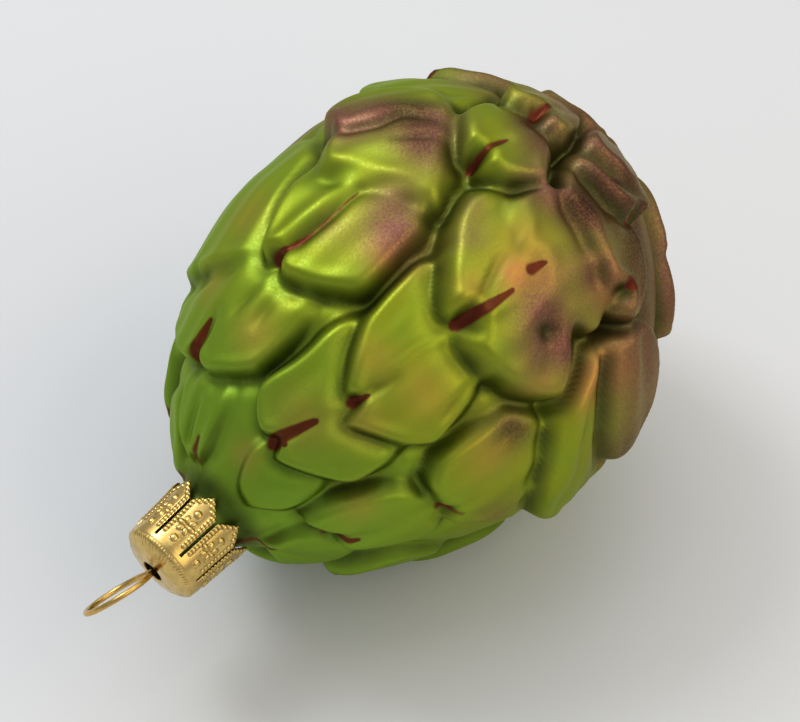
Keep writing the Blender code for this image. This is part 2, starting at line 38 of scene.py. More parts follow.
# Glass body: base form as (station, radius), how deep the inner skin lies under it at the neck and
# farther on, and the fineness of the skins.
MOUTH = -3.0
FAR_END = 87.8
INNER_DEPTH = (1.0, 3.2)
PROFILE = [(MOUTH, 5.4), (5.0, 5.45), (7.0, 6.4), (9.0, 9.2), (12.0, 13.3), (16.0, 17.0), (22.0, 21.6),
           (32.0, 27.1), (44.0, 30.8), (56.0, 31.3), (66.0, 29.2), (74.0, 24.8), (81.0, 18.0),
           (86.0, 10.4), (FAR_END, 0.0)]
COLUMNS = 416
ROWS = 226
INNER_STEP = 8

# Relief of the bracts, the leaf scales. CORNER is the radius that rounds a bract's outline.
STAND = 1.25
REACH = 1.15
CORNER = 0.6
BLEND = 0.5
MOAT_DEPTH = 0.85
MOAT_WIDTH = 1.6
RIPPLE = 0.12
RELIEF_START = (6.0, 10.0)

# Crown cap of stamped sheet.
PETALS = 8
SHEET = 0.3
CAP_TURN = -5.0
SLOT_HALF_ANGLE = 2.2
SLOT_START = -2.9
PETAL_SIDE_END = 4.2
PETAL_TIP = 6.4
PETAL_FLARE = 0.5
CAP_RADIUS = 6.1
HOLE_RADIUS = 1.75
CAP_TOP = [(-5.4, HOLE_RADIUS), (-5.3, 3.2), (-4.95, 4.7), (-4.35, 5.6), (-3.6, 6.03),
           (SLOT_START, CAP_RADIUS)]
PETAL_COLUMNS = 36
PETAL_ROWS = 72
TOP_ROWS = 26
BEAD_PITCH = 0.62
BEAD_INSET = 0.42
BEAD_RADIUS = 0.29
TIP_BEAD_RADIUS = 0.3
BEAD_HEIGHT = 0.22
DOT_STATIONS = (-1.7, 3.0)
DOT_RADIUS = 0.48
DOT_HEIGHT = 0.30
FLOWER_STATION = 0.75
FLOWER_REACH = 0.86
FLOWER_OVAL = (0.56, 0.27)
FLOWER_HEIGHT = 0.26
RING_BEADS = 72
RING_BEAD_RADIUS = 0.25
RING_BEAD_HEIGHT = 0.24
RING_INSET = 1.15

# Hanging loop of spring wire.
WIRE = 0.83
LOOP_RADIUS = 5.25
LOOP_REACH = 6.2
LOOP_TURN = 39.0
LOOP_LEAN = 9.5
WIRE_GAP = 0.68
LEG_SPREAD = 3.4
LEG_END = 4.5
LOOP_START_ANGLE = 24.0
LOOP_STEPS = 12

# Camera: it looks down on the ornament from its cap's side.
CAMERA_AZIMUTH = -45.87
CAMERA_ELEVATION = 48.07
CAMERA_DISTANCE = 450.0
PIXELS_PER_MM = 6.77
FRAME_WIDTH = 800
SENSOR = 36.0
AIM = (44.83, -3.906, 0.328)
AIM_SHIFT = (0.0, -5.0)


def smooth_curve(xs, ys, x):
    """Monotone cubic through the points, with the slopes of Fritsch and Carlson."""
    xs = np.asarray(xs, float)
    ys = np.asarray(ys, float)
    step = np.diff(xs)
    slope = np.diff(ys) / step
    tangent = np.zeros_like(ys)
    for i in range(1, len(xs) - 1):
        if slope[i - 1] * slope[i] > 0:
            near = 2 * step[i] + step[i - 1]
            far = step[i] + 2 * step[i - 1]
            tangent[i] = (near + far) / (near / slope[i - 1] + far / slope[i])
    tangent[0] = slope[0]
    tangent[-1] = 2.2 * slope[-1]
    i = np.clip(np.searchsorted(xs, x) - 1, 0, len(xs) - 2)
    t = (x - xs[i]) / step[i]
    return (ys[i] * (1 + 2 * t) * (1 - t) ** 2 + tangent[i] * step[i] * t * (1 - t) ** 2
            + ys[i + 1] * t * t * (3 - 2 * t) + tangent[i + 1] * step[i] * t * t * (t - 1))


STATIONS = np.linspace(MOUTH, FAR_END, 3000)
RADII = np.maximum(smooth_curve([p[0] for p in PROFILE], [p[1] for p in PROFILE], STATIONS), 0.0)
ARCS = np.concatenate([[0.0], np.cumsum(np.hypot(np.diff(STATIONS), np.diff(RADII)))])
SLOPES = np.clip(np.gradient(RADII, STATIONS), -6.0, 3.0)


def radius_at(station):
    return np.interp(station, STATIONS, RADII)


def arc_at(station):
    return np.interp(station, STATIONS, ARCS)


def station_at(arc):
    return np.interp(arc, ARCS, STATIONS)


def flat_place(station, turn, origin):
    """Place on the unrolled body near the origin: mm across, and mm along from neck to far end."""
    offset = (turn - origin[1] + 180.0) % 360.0 - 180.0
    mean_radius = 0.5 * (radius_at(station) + radius_at(origin[0]))
    return np.radians(offset) * mean_radius, arc_at(station) - arc_at(origin[0])


class Bract:
    """One leaf scale: an outline around its tip, in stations and turns, and how it stands up."""

    def __init__(self, tip, lean, height, bevel, length, outline, groove=0.5):
        self.tip = tip
        self.lean = math.radians(lean)
        self.height = height
        self.bevel = bevel
        self.length = length
        self.outline = outline
        self.groove = groove


# The bracts of the side that is seen, from the neck to the far end, each with an outline of its own.
NAMED_BRACTS = {
    "neck_left": Bract((8.8, -28), 14, 0.9, 1.5, 14, [
        (9, -30), (8, -33), (8.5, -45), (12, -58), (18, -55), (20, -35), (18, -10), (12, -8), (9, -15),
        (8, -26)]),
    "neck_right": Bract((8.4, 38), 8, 0.9, 1.5, 14, [
        (13, 8), (9.4, 15), (8.6, 25), (8.4, 38), (8.6, 46), (9.7, 52), (12, 62), (16, 60), (20, 35),
        (16, 12)], 0.0),
    "low_right": Bract((15, 79), 7, 1.7, 2.0, 22, [
        (15.3, 79), (14, 76), (11.8, 63), (12.5, 57), (16, 54), (26, 62), (30, 85), (26, 100),
        (20.5, 97), (15.8, 94), (14.3, 84)]),
    "low_centre": Bract((15.6, 20), 11, 2.4, 1.8, 24, [
        (16, 20), (15.2, 17), (15, 10), (16.6, 2), (19.3, -3), (21, -1.5), (25, 4), (30.3, 5),
        (36, 12), (38, 28), (33, 45), (27.4, 55), (21, 57.5), (18.7, 56), (16.2, 45), (14, 29),
        (14, 23)]),
    "low_left": Bract((18.2, -37), 19, 1.9, 1.8, 24, [
        (18.6, -37), (17.2, -39), (17.5, -48), (19, -60), (22, -72), (28, -78), (36, -60), (38, -25),
        (33, 1), (27, 2), (22, 0), (19.4, -3), (17.3, -18), (16.8, -27), (17.2, -33)]),
    "centre": Bract((25.6, 29), 8, 2.7, 2.0, 26, [
        (26, 29), (24.7, 27), (25.5, 23), (27, 20), (30, 15), (34, 11.5), (40, 11), (46, 12),
        (52, 22), (52, 36), (44, 46), (38.5, 51.5), (31, 57.5), (29.5, 57), (27, 53), (25, 45),
        (23, 36), (22.5, 31)]),
    "right": Bract((27.8, 80), -3, 2.0, 2.0, 26, [
        (28, 80), (26.8, 78), (26.4, 72), (26.2, 66), (28, 60), (30, 57.5), (34, 57), (44, 58),
        (50, 90), (46, 112), (39.3, 110), (32.4, 98), (27.4, 88), (26.8, 84)]),
    "left": Bract((27.5, -56), 10, 2.1, 2.0, 26, [
        (28.2, -56), (27.6, -60), (28, -68), (30, -82), (38, -88), (54, -70), (54, -38), (41.5, -31),
        (34, -24.5), (32.3, -25), (30, -33), (28.5, -45), (27.6, -52)]),
    "upper_left": Bract((32.6, -19), 15, 2.7, 2.4, 26, [
        (33, -19), (31.4, -20.5), (31.8, -25), (34, -28.5), (41.5, -32.5), (50, -36), (58, -30),
        (60, -4), (50, 9.5), (45, 11.5), (37, 12), (34.5, 9.5), (32, 1), (31, -5), (30.4, -12),
        (31, -16)]),
    "outer_right": Bract((41, 110), -60, 2.6, 2.2, 60, [
        (58, 58), (50, 64.5), (46, 67), (44.5, 68), (42.5, 75), (39.8, 86), (39, 100), (39.5, 108),
        (42, 114), (47, 120), (55, 118), (62, 95), (62, 66)], 0.0),
    "heart": Bract((41.2, 32), 6, 4.0, 3.6, 26, [
        (42, 32), (40.3, 31), (39.5, 27), (41.3, 22), (45.5, 15), (50.6, 9), (56.7, 6), (64, 14),
        (64, 45), (58, 53), (54.6, 57.5), (52, 64), (48, 68.5), (45.6, 67), (42, 60), (39.3, 50),
        (38.6, 38), (39.2, 33)]),
    "upper_outer": Bract((50.5, -34), 38, 3.0, 3.6, 30, [
        (51, -34), (51.5, -37), (52, -42), (56, -46), (62, -44), (70, -30), (68, -8), (60, 2),
        (54, 8.5), (51, 10), (50, 8), (48.9, -1), (46.6, -11), (44.1, -23), (46.5, -30)], 0.0),
    "edge_right": Bract((53, 102), -75, 3.0, 2.2, 60, [
        (60, 61), (57.5, 62.5), (54, 72), (51.3, 85), (51.5, 98), (52.5, 104), (56, 108), (62, 104),
        (68, 90), (68, 66)], 0.0),
    "upper_right": Bract((54.4, 33), 16, 2.8, 2.4, 17, [
        (55.2, 33.5), (53, 31.5), (53.6, 28.5), (55.5, 23.5), (58.7, 17), (63, 16), (70, 25),
        (70, 48), (64, 58), (58, 61), (55.3, 59), (53.6, 51), (52.6, 45), (52.5, 36)], 0.0),
    "top": Bract((59.4, 4), 7, 3.0, 2.8, 19, [
        (60.3, 4.3), (58.6, 2.5), (59.2, -1), (62.2, -8), (66, -13.5), (73, -13), (80, 2), (74, 14),
        (68, 21), (66, 23.5), (63.6, 23.5), (59.2, 15), (58.3, 10), (58.3, 6)]),
    "top_left": Bract((60.5, -44), 30, 1.9, 2.2, 20, [
        (61, -44.5), (59.8, -41.5), (60.6, -36), (63, -25), (65.2, -14), (68.5, -11), (74, -13),
        (80, -25), (78, -48), (68, -58), (61, -50)], 0.0),
    "top_right": Bract((64.4, 55), -15, 2.2, 2.2, 20, [
        (63.2, 54.6), (62.0, 53.8), (60, 56), (59.5, 61), (62, 67), (67, 67), (74, 58), (76, 35),
        (75, 18), (69.5, 19), (66, 22.5), (63.2, 29), (62.2, 37), (61.4, 46), (60.5, 51)], 0.0),
    "end_left": Bract((73.4, 2), 5, 2.8, 2.0, 16, [
        (74.2, 2.3), (72.4, 0), (71.4, -7), (73, -15), (80, -18), (85, 0), (80, 15), (75, 18),
        (72.3, 16), (71.4, 9), (72.2, 4)]),
    "end_right": Bract((73.2, 47), -30, 2.9, 1.8, 16, [
        (74.2, 46.5), (72.3, 46), (70.6, 38), (70.5, 27), (72.5, 16), (78, 12), (85, 20), (85, 42),
        (79, 54), (74.5, 52)], 0.0),
    "last_right": Bract((74.5, 30), 0, 3.2, 2.0, 15, [
        (77, 13), (74.6, 21), (75.2, 31), (76.2, 41), (79, 47), (85, 44), (87, 25), (82, 12)], 0.0),
}

# The other bracts share one shield outline, mm across and along from the tip.
# Each row gives station, height, size and length of its bracts, and their turns.
SHIELD = [(0, -3.2), (-2.5, -1), (-6.5, 2.6), (-9.4, 6.8), (-9.6, 12), (-7, 19), (0, 22), (7.5, 19),
          (9.8, 11.5), (9.2, 6.2), (6.2, 2.4), (2.2, -1)]
SHIELD_LEAN = 8.0
SHIELD_BEVEL = 2.0
ROWS_OF_BRACTS = [
    (8.0, 0.9, 0.62, 24, [95, 155, 215, 275]),
    (16.5, 1.8, 0.85, 24, [130, 175, 219, 262]),
    (28.0, 2.1, 1.0, 24, [142, 200, 241]),
    (37.5, 2.6, 0.95, 24, [174]),
    (41.5, 2.2, 1.1, 24, [147, 221, 257]),
    (42.5, 0.9, 1.05, 24, [290]),
    (54.5, 2.4, 1.05, 24, [158, 193]),
    (54.0, 1.9, 1.15, 24, [235]),
    (54.0, 1.3, 1.15, 24, [272]),
    (64.0, 2.2, 1.05, 24, [122, 176, 214, 252]),
    (64.5, 0.9, 1.0, 24, [288]),
    (74.0, 2.0, 1.05, 24, [100, 150, 195, 236, 276, 312]),
    (81.0, 1.7, 0.85, 20, [82, 128, 174, 216, 258, 303, 345]),
    (85.3, 1.1, 0.55, 22, [20, 92, 164, 236, 308]),
]

# Folds and ridges pressed into the bracts: a line of (station, turn), its half width and its height.
FOLDS = [
    ([(50.5, -34), (52.9, -26), (56.2, -21), (59.3, -19), (61.4, -13)], 0.9, -1.1),
    ([(52.5, -36), (55, -29), (58.5, -25), (61, -20)], 1.3, 0.5),
    ([(55.6, -14), (59.8, -6)], 0.55, -0.8),
    ([(44.5, 31.0), (47.5, 29.5), (51.8, 27)], 0.8, -1.0),
    ([(42.6, 28.0), (44.5, 27.0)], 1.4, 0.5),
    ([(69.0, 30), (64.0, 45), (60.0, 57)], 1.5, 0.6),
    ([(66.0, 19.5), (65.2, 22.5), (64.4, 24.5)], 1.5, 1.3),
    ([(64.6, 52), (64.0, 55), (63.0, 58)], 1.6, 1.2),
    ([(46.5, 44), (49.0, 42), (52.5, 41)], 1.3, 0.45),
    ([(47.5, 52), (50.5, 49), (53.5, 50)], 1.5, -0.5),
    ([(41.0, 33), (44.7, 34), (49.6, 36)], 0.9, 0.6),
    ([(49.8, 46.5), (51, 49)], 1.2, -1.1),
    ([(50.5, 55), (52, 53)], 2.2, 0.5),
    ([(60, 4), (65.5, 6)], 0.8, -0.7),
    ([(58.7, 18.5), (55.6, 25), (54.6, 28)], 0.7, 0.5),
    ([(54.6, 28), (57.3, 27), (59.6, 24.5)], 0.6, 0.4),
    ([(70, 21), (66.7, 29), (66, 37), (63.4, 47), (62.1, 51)], 2.4, 1.0),
    ([(72.6, 20), (72.3, 31), (71.9, 42)], 1.2, 0.5),
    ([(37.9, 46), (32.9, 49)], 0.55, -0.7),
    ([(30, 29), (36, 30), (41, 33)], 0.8, 0.45),
    ([(26, 29.5), (31, 31)], 0.8, -0.6),
    ([(38.5, 62), (39.5, 67)], 2.6, -0.8),
    ([(32.8, -17.5), (36, -13.8), (40.8, -11.5), (46, -11)], 0.9, -1.2),
    ([(33, -22), (37, -18), (42, -15.5), (46, -15)], 1.3, 0.45),
    ([(18.5, -36), (21, -34.5), (24.2, -33)], 0.8, -0.9),
    ([(25, -24), (28.9, -20)], 0.9, -0.55),
    ([(24.9, -14), (28.4, -13)], 0.9, -0.45),
    ([(22.7, -6), (30.5, 0)], 1.6, -0.4),
    ([(9.8, -38), (15, -32)], 0.8, -0.7),
    ([(15.5, 20.5), (18, 22.5), (21.3, 25.5)], 0.9, -0.4),
    ([(63.5, 56), (61.5, 60)], 2.2, 0.9),
    ([(56, 57), (51, 67), (46, 80), (43.5, 92)], 1.7, 1.1),
    ([(60, 61), (57, 63), (54, 72), (51.3, 85), (51.4, 104)], 0.9, -1.2),
    ([(61.5, 66), (58, 76), (56, 88), (56.5, 98)], 1.7, 0.9),
    ([(46, 66), (44.5, 68), (42.5, 75), (39.8, 86)], 0.9, -0.6),
    ([(69.5, 19), (65.5, 24), (63.5, 32), (62.7, 39)], 1.1, -0.9),
    ([(75.5, 14), (73.8, 22), (74.8, 32), (75.4, 41)], 1.1, -0.7),
]

# Lacquer, with some painted shade among the dark spots. Each spot is (station, turn), its size in mm and
# its strength.
BLUSH_SPOTS = [
    ((54.5, -34), 3.5, 0.9), ((57.5, -24), 4.2, 0.95), ((61.0, -12), 4.2, 0.95), ((44.5, 4), 4.8, 0.95),
    ((48.0, -2), 3.4, 0.7), ((39.5, -9), 2.6, 0.35), ((54.0, 13), 3.0, 0.5), ((51.0, 43), 4.6, 0.95),
    ((51.5, 53), 4.2, 1.0), ((57.0, 38), 3.5, 0.35), ((69.0, 13), 4.0, 0.8), ((71.5, 5), 3.4, 0.9),
    ((66.5, 34), 4.5, 0.9), ((72.0, 31), 4.0, 0.9), ((76.0, 38), 8.0, 1.0), ((67.0, 66), 9.0, 1.0),
    ((63.0, 78), 8.0, 0.9), ((80.0, 15), 8.0, 0.9), ((74.0, 62), 9.0, 1.0), ((66.0, 96), 8.0, 0.9),
    ((76.0, 84), 8.0, 0.9), ((47.0, 49), 4.2, 0.6), ((50.5, 19), 2.8, 0.45), ((56.0, -2), 3.0, 0.4),
    ((61.0, 45), 4.0, 0.75), ((57.5, -8), 4.0, 0.9), ((53.5, -27), 4.0, 0.9), ((64.5, 24), 4.5, 0.85),
    ((40.0, 64), 3.0, 0.6), ((62.5, 20), 3.6, 0.5), ((34.0, 92), 4.0, 0.5), ((57.0, 92), 7.0, 0.6),
    ((56.0, 104), 6.0, 0.7), ((48.0, 250), 6.0, 0.7), ((58.0, 200), 6.0, 0.7), ((56.0, 297), 6.0, 0.7),
    ((44.0, 215), 5.0, 0.5), ((57.0, 160), 6.0, 0.6), ((66.0, 120), 7.0, 0.8), ((69.0, 250), 8.0, 0.7),
    ((70.0, 190), 8.0, 0.7), ((76.0, 330), 5.0, 0.6),
]
WARM_SPOTS = [
    ((42.0, 8), 2.8, 0.9), ((51.5, 32), 2.6, 1.0), ((54.5, 36), 3.0, 0.7), ((45.5, 27), 2.4, 0.4),
    ((52.0, 66), 4.0, 0.8), ((57.0, 68), 4.0, 0.8), ((56.0, 27), 3.0, 0.4), ((33.0, 40), 4.0, 0.35),
    ((20.0, 22), 4.0, 0.3), ((62.0, 50), 4.0, 0.8), ((36.0, 66), 5.0, 0.4), ((24.0, -12), 3.5, 0.35),
    ((12.0, 12), 2.6, 0.35), ((25.0, 36), 3.5, 0.35), ((19.0, 62), 3.2, 0.3), ((37.0, -40), 4.0, 0.3),
    ((27.0, -42), 3.4, 0.3), ((46.0, 12), 3.0, 0.3), ((31.0, 24), 3.0, 0.3), ((45.0, 56), 3.0, 0.4),
    ((65.0, 30), 2.5, 0.6),
]
# Dark brown spots: partly brown lacquer, partly painted shade in valleys, in a dent and towards the right
# side.
SHADE_SPOTS = [
    ((60.0, -18), 4.0, 0.8), ((69.0, 75), 8.0, 0.45), ((56.0, 100), 5.0, 0.45), ((79.0, 20), 6.0, 0.4),
    ((57.0, -8), 3.0, 0.5), ((72.0, 50), 6.0, 0.6), ((66.0, 32), 3.2, 0.9), ((71.0, 5), 2.4, 0.6),
    ((51.0, 48), 2.2, 0.6), ((40.0, 65), 3.0, 0.5), ((65.0, 55), 1.8, 0.7), ((53.0, 56), 2.6, 0.35),
    ((76.0, 40), 4.0, 0.5), ((70.5, 30), 4.0, 0.6), ((73.0, 60), 7.0, 0.6),
]
# Dark red dabs of the brush, in the notches: a line, its half width and its strength.
DABS = [
    ([(15.2, 20), (16.6, 20.5), (18, 22), (21, 25.5)], 0.75, 1.0),
    ([(15.4, 19), (16.6, 22), (16.9, 24)], 0.6, 1.0),
    ([(41.2, 31.5), (44.5, 32.5), (49.5, 34)], 0.6, 1.0),
    ([(25.2, 28.8), (27.6, 30.3)], 0.6, 0.8),
    ([(32.8, -19), (34.5, -16)], 0.6, 0.8),
    ([(34, -16), (37, -13.2), (40.8, -11.5), (46, -11)], 0.45, 0.6),
    ([(18.6, -38), (20.3, -36.5), (23, -34.5)], 0.65, 0.8),
    ([(8.8, -28), (11, -24.5)], 0.7, 0.6),
    ([(60, 4.3), (62, 5), (65.2, 6)], 0.6, 0.9),
    ([(53.8, 33.5), (56, 34.5)], 0.6, 0.8),
    ([(72.8, 47), (74.5, 47)], 0.7, 0.9),
    ([(73.6, 2), (76, 2.5)], 0.7, 0.9),
    ([(14.3, 78.5), (17.5, 82)], 0.7, 0.7),
    ([(27.3, 79.5), (30, 82)], 0.6, 0.6),
    ([(64.8, 54.5), (66.2, 55.5)], 0.7, 0.8),
]
# The dab of each bract of the rows, as (station, turn) from its tip.
ROW_DAB = [(-2.0, 0.0), (-0.6, 0.8), (1.4, 2.6)]
ROW_DAB_HALF_WIDTH = 0.6
ROW_DAB_STRENGTH = 0.8
# Rows of bracts from this station on have no dab.
LAST_DAB_ROW = 75.0
# Passes of the blur that each place is compared with, to find the hollows.
BLUR_PASSES = 4
GREEN = (0.190, 0.330, 0.022)
YELLOW_GREEN = (0.270, 0.325, 0.014)
WARM = (0.54, 0.25, 0.065)
BLUSH = (0.215, 0.078, 0.064)
DARK = (0.050, 0.018, 0.010)
# Dark green of the painted shade on walls, in hollows and at the neck.
PAINTED_SHADE_GREEN = (0.030, 0.045, 0.008)
DAB_RED = (0.110, 0.012, 0.006)
SHEEN_TINT = (0.80, 0.85, 0.50, 1.0)
BRASS = (0.71, 0.50, 0.16)
GILT = (0.66, 0.42, 0.12)
FLOOR_GREY = (0.645, 0.657, 0.685, 1.0)
ROOM_WHITE = (0.93, 0.96, 1.0, 1.0)
ROOM_STRENGTH = 0.45


def unrolled_line(line, station, turn):
    """The line and all the points on one unrolled patch of the body."""
    origin = tuple(np.mean(line, axis=0))
    x, y = flat_place(station, turn, origin)
    ends = [flat_place(s, t, origin) for s, t in line]
    return x, y, ends


def distance_to_line(station, turn, line):
    """Distance to the line, in mm, and the share of the line's length at the nearest point."""
    x, y, ends = unrolled_line(line, station, turn)
    lengths = [math.dist(a, b) for a, b in zip(ends, ends[1:])]
    nearest = np.full(np.shape(x), 1e9)
    place = np.zeros(np.shape(x))
    gone = 0.0
    for (ax, ay), (bx, by), length in zip(ends, ends[1:], lengths):
        t = np.clip(((x - ax) * (bx - ax) + (y - ay) * (by - ay)) / length ** 2, 0.0, 1.0)
        distance = np.hypot(x - ax - t * (bx - ax), y - ay - t * (by - ay))
        place = np.where(distance < nearest, (gone + t * length) / sum(lengths), place)
        nearest = np.minimum(nearest, distance)
        gone += length
    return nearest, place


def shared_bract(station, turn, height, size, length, sway):
    """A bract of the rows: the shield, leaned a little, with its outline turned into stations."""
    lean = SHIELD_LEAN + 4 * sway
    slant = math.radians(lean)
    outline = []
    for across, along in SHIELD:
        x = (across * math.cos(slant) + along * math.sin(slant)) * size
        y = (along * math.cos(slant) - across * math.sin(slant)) * size
        place = float(station_at(arc_at(station) + y))
        mean_radius = 0.5 * (radius_at(place) + radius_at(station))
        outline.append((place, turn + math.degrees(x / mean_radius)))
    bevel = SHIELD_BEVEL * min(1.0, size + 0.2)
    return Bract((station, turn), lean, height, bevel, length * size, outline)


def all_bracts():
    """Every bract, from the neck to the far end, so that each lies on those before it."""
    bracts = list(NAMED_BRACTS.values())
    for station, height, size, length, turns in ROWS_OF_BRACTS:
        for k, turn in enumerate(turns):
            sway = math.sin(12.9 * (k + 1) + station)
            bracts.append(shared_bract(station + 0.6 * sway, turn + 1.5 * sway, height, size, length,
                                       sway))
    return sorted(bracts, key=lambda bract: bract.tip[0])


def corners_cut(outline):
    """The closed outline with each corner cut off at a quarter of its sides, twice over."""
    points = np.asarray(outline, float)
    for _ in range(2):
        after = np.roll(points, -1, axis=0)
        early = 0.75 * points + 0.25 * after
        late = 0.25 * points + 0.75 * after
        points = np.stack([early, late], axis=1).reshape(-1, 2)
    return [tuple(point) for point in points]


def drawn_in(outline, amount):
    """The outline moved inwards, so that its corners come out round when it grows back."""
    points = np.asarray(outline, float)
    turned = np.roll(points, -1, axis=0)
    area = 0.5 * np.sum(points[:, 0] * turned[:, 1] - turned[:, 0] * points[:, 1])
    side = 1.0 if area > 0 else -1.0
    moved = []
    for before, here, after in zip(np.roll(points, 1, axis=0), points, turned):
        first = (here - before) / np.linalg.norm(here - before)
        second = (after - here) / np.linalg.norm(after - here)
        normal = side * np.array([-first[1], first[0]])
        bisector = normal + side * np.array([-second[1], second[0]])
        bisector /= max(np.linalg.norm(bisector), 1e-6)
        moved.append(here + bisector * amount / max(bisector @ normal, 0.5))
    return moved


def depth_inside(x, y, outline):
    """Distance to the outline, positive inside it."""
    nearest = np.full(x.shape, 1e9)
    inside = np.zeros(x.shape, bool)
    for (ax, ay), (bx, by) in zip(outline, outline[1:] + outline[:1]):
        ex, ey = bx - ax, by - ay
        t = np.clip(((x - ax) * ex + (y - ay) * ey) / (ex * ex + ey * ey + 1e-12), 0.0, 1.0)
        nearest = np.minimum(nearest, np.hypot(x - ax - t * ex, y - ay - t * ey))
        crossing = ((ay > y) != (by > y)) & (x < ex * (y - ay) / (ey or 1e-12) + ax)
        inside ^= crossing
    return np.where(inside, nearest, -nearest)


def bract_form(bract, x, y, depth):
    """Height that one bract reaches above the base form: raised tip, rim, midrib groove, ripple."""
    along = x * math.sin(bract.lean) + y * math.cos(bract.lean)
    across = x * math.cos(bract.lean) - y * math.sin(bract.lean)
    fall = np.clip(1 - np.maximum(along, 0.0) / (REACH * bract.length), 0.0, 1.0)
    crown = -0.6 * np.clip(across / 10.0, -1.0, 1.0) ** 2
    rim = 0.3 * np.exp(-((depth - bract.bevel) / 1.0) ** 2) * fall
    groove = (-0.9 * bract.groove * np.exp(-(across / 0.8) ** 2)
              * np.clip((along + 1.5) / 2.0, 0.0, 1.0) * np.clip(1 - along / 9.0, 0.0, 1.0))
    ripple = RIPPLE * np.cos(across * 1.25 + 0.12 * along + bract.tip[1]) * np.clip(depth / 3.0, 0.0, 1.0)
    return STAND * bract.height * fall ** 0.8 + crown + rim + groove + ripple


def lay_bract(height, station, turn, bract):
    """Adds one bract on top of what lies below it, with a rounded wall along its outline."""
    x, y = flat_place(station, turn, bract.tip)
    outline = [flat_place(s, t, bract.tip) for s, t in bract.outline]
    low = np.min(outline, axis=0) - 3.0
    high = np.max(outline, axis=0) + 3.0
    near = (x > low[0]) & (x < high[0]) & (y > low[1]) & (y < high[1])
    depth = depth_inside(x[near], y[near], drawn_in(corners_cut(outline), CORNER)) + CORNER
    t = np.clip(depth / bract.bevel, 0.0, 1.0)
    wall = 0.55 * t * t * (3 - 2 * t) + 0.45 * (1 - (1 - t) ** 2)
    rise = bract_form(bract, x[near], y[near], depth) - height[near]
    moat = MOAT_DEPTH * np.clip(rise / 1.5, 0.0, 1.0) * np.exp(-(np.minimum(depth, 0.0) / MOAT_WIDTH) ** 2)
    below = height[near] - moat
    soft = (np.clip(rise, -BLEND, BLEND) + BLEND) ** 2 / (4 * BLEND)
    rise = np.where(rise > BLEND, rise, soft) + moat
    height[near] = np.where(depth > 0, below + rise * wall, below)


def relief(station, turn):
    """Height of the bracts and folds above the base form."""
    height = np.zeros(station.shape)
    for bract in all_bracts():
        lay_bract(height, station, turn, bract)
    for line, width, rise in FOLDS:
        distance, place = distance_to_line(station, turn, line)
        swell = 0.35 + 0.65 * np.sin(np.pi * np.clip(0.85 * place + 0.1, 0.0, 1.0))
        height += rise * swell * np.exp(-(distance / width) ** 2)
    start, full = RELIEF_START
    return softened(height) * np.clip((station - start) / (full - start), 0.0, 1.0)


def softened(height):
    """Relief rounded off a little, as blown glass is, over each place and its neighbours."""
    around = (np.roll(height, 1, 1) + 2 * height + np.roll(height, -1, 1)) / 4
    padded = np.pad(around, ((1, 1), (0, 0)), mode="edge")
    return (padded[:-2] + 2 * around + padded[2:]) / 4


def axis_directions():
    """Unit vectors along the axis, up and to +Y of the lying ornament."""
    tilt = math.radians(AXIS_TILT)
    return (np.array([math.cos(tilt), 0.0, math.sin(tilt)]),
            np.array([-math.sin(tilt), 0.0, math.cos(tilt)]),
            np.array([0.0, 1.0, 0.0]))


def on_body(station, radius, turn):
    """World points, in mm, from station, radius and turn."""
    along, up, side = axis_directions()
    angle = np.radians(turn)
    station = np.asarray(station, float)[..., None]
    rise = np.asarray(radius * np.cos(angle), float)[..., None]
    sway = np.asarray(radius * np.sin(angle), float)[..., None]
    return np.array(AXIS_START) + station * along + rise * up - sway * side


def body_surface(stations, turns, height):
    """Points on the glass at a height along the normal of the base form, none below the floor."""
    slope = np.interp(stations, STATIONS, SLOPES)
    stretch = np.sqrt(1 + slope * slope)
    points = on_body(stations - height * slope / stretch, radius_at(stations) + height / stretch,
                     turns + ROLL)
    points[..., 2] = np.maximum(points[..., 2], 0.0)
    return points


def spots(station, turn, listed):
    """Strength of soft round spots of lacquer, each laid over the others."""
    bare = np.ones(station.shape)
    for centre, size, strength in listed:
        x, y = flat_place(station, turn, centre)
        bare *= 1 - strength * np.exp(-(x * x + y * y) / (size * size))
    return 1 - bare


def ramp(value, low, high):
    t = np.clip((value - low) / (high - low), 0.0, 1.0)
    return t * t * (3 - 2 * t)


def hollows(height):
    """How far each place lies below what is around it, in mm."""
    blurred = height
    for _ in range(BLUR_PASSES):
        around = (np.roll(blurred, 2, 1) + np.roll(blurred, -2, 1)) / 2
        padded = np.pad(blurred, ((2, 2), (0, 0)), mode="edge")
        blurred = (blurred + around + (padded[4:] + padded[:-4]) / 2) / 3
    return blurred - height


def row_dabs():
    """A dab across the tip of each bract of the rows before LAST_DAB_ROW."""
    dabs = []
    for row, _, _, _, turns in ROWS_OF_BRACTS:
        if row < LAST_DAB_ROW:
            for turn in turns:
                line = [(row + along, turn + around) for along, around in ROW_DAB]
                dabs.append((line, ROW_DAB_HALF_WIDTH, ROW_DAB_STRENGTH))
    return dabs


def walls(station, height):
    """How steeply the relief rises at each place, from 0 on the flat to 1 on the walls."""
    step = ARCS[-1] / ROWS
    padded = np.pad(height, ((1, 1), (0, 0)), mode="edge")
    along = (padded[2:] - padded[:-2]) / (2 * step)
    spacing = np.maximum(2 * math.pi * radius_at(station) / COLUMNS, 0.1)
    around = (np.roll(height, -1, 1) - np.roll(height, 1, 1)) / (2 * spacing)
    return ramp(np.hypot(along, around), 0.35, 1.1)


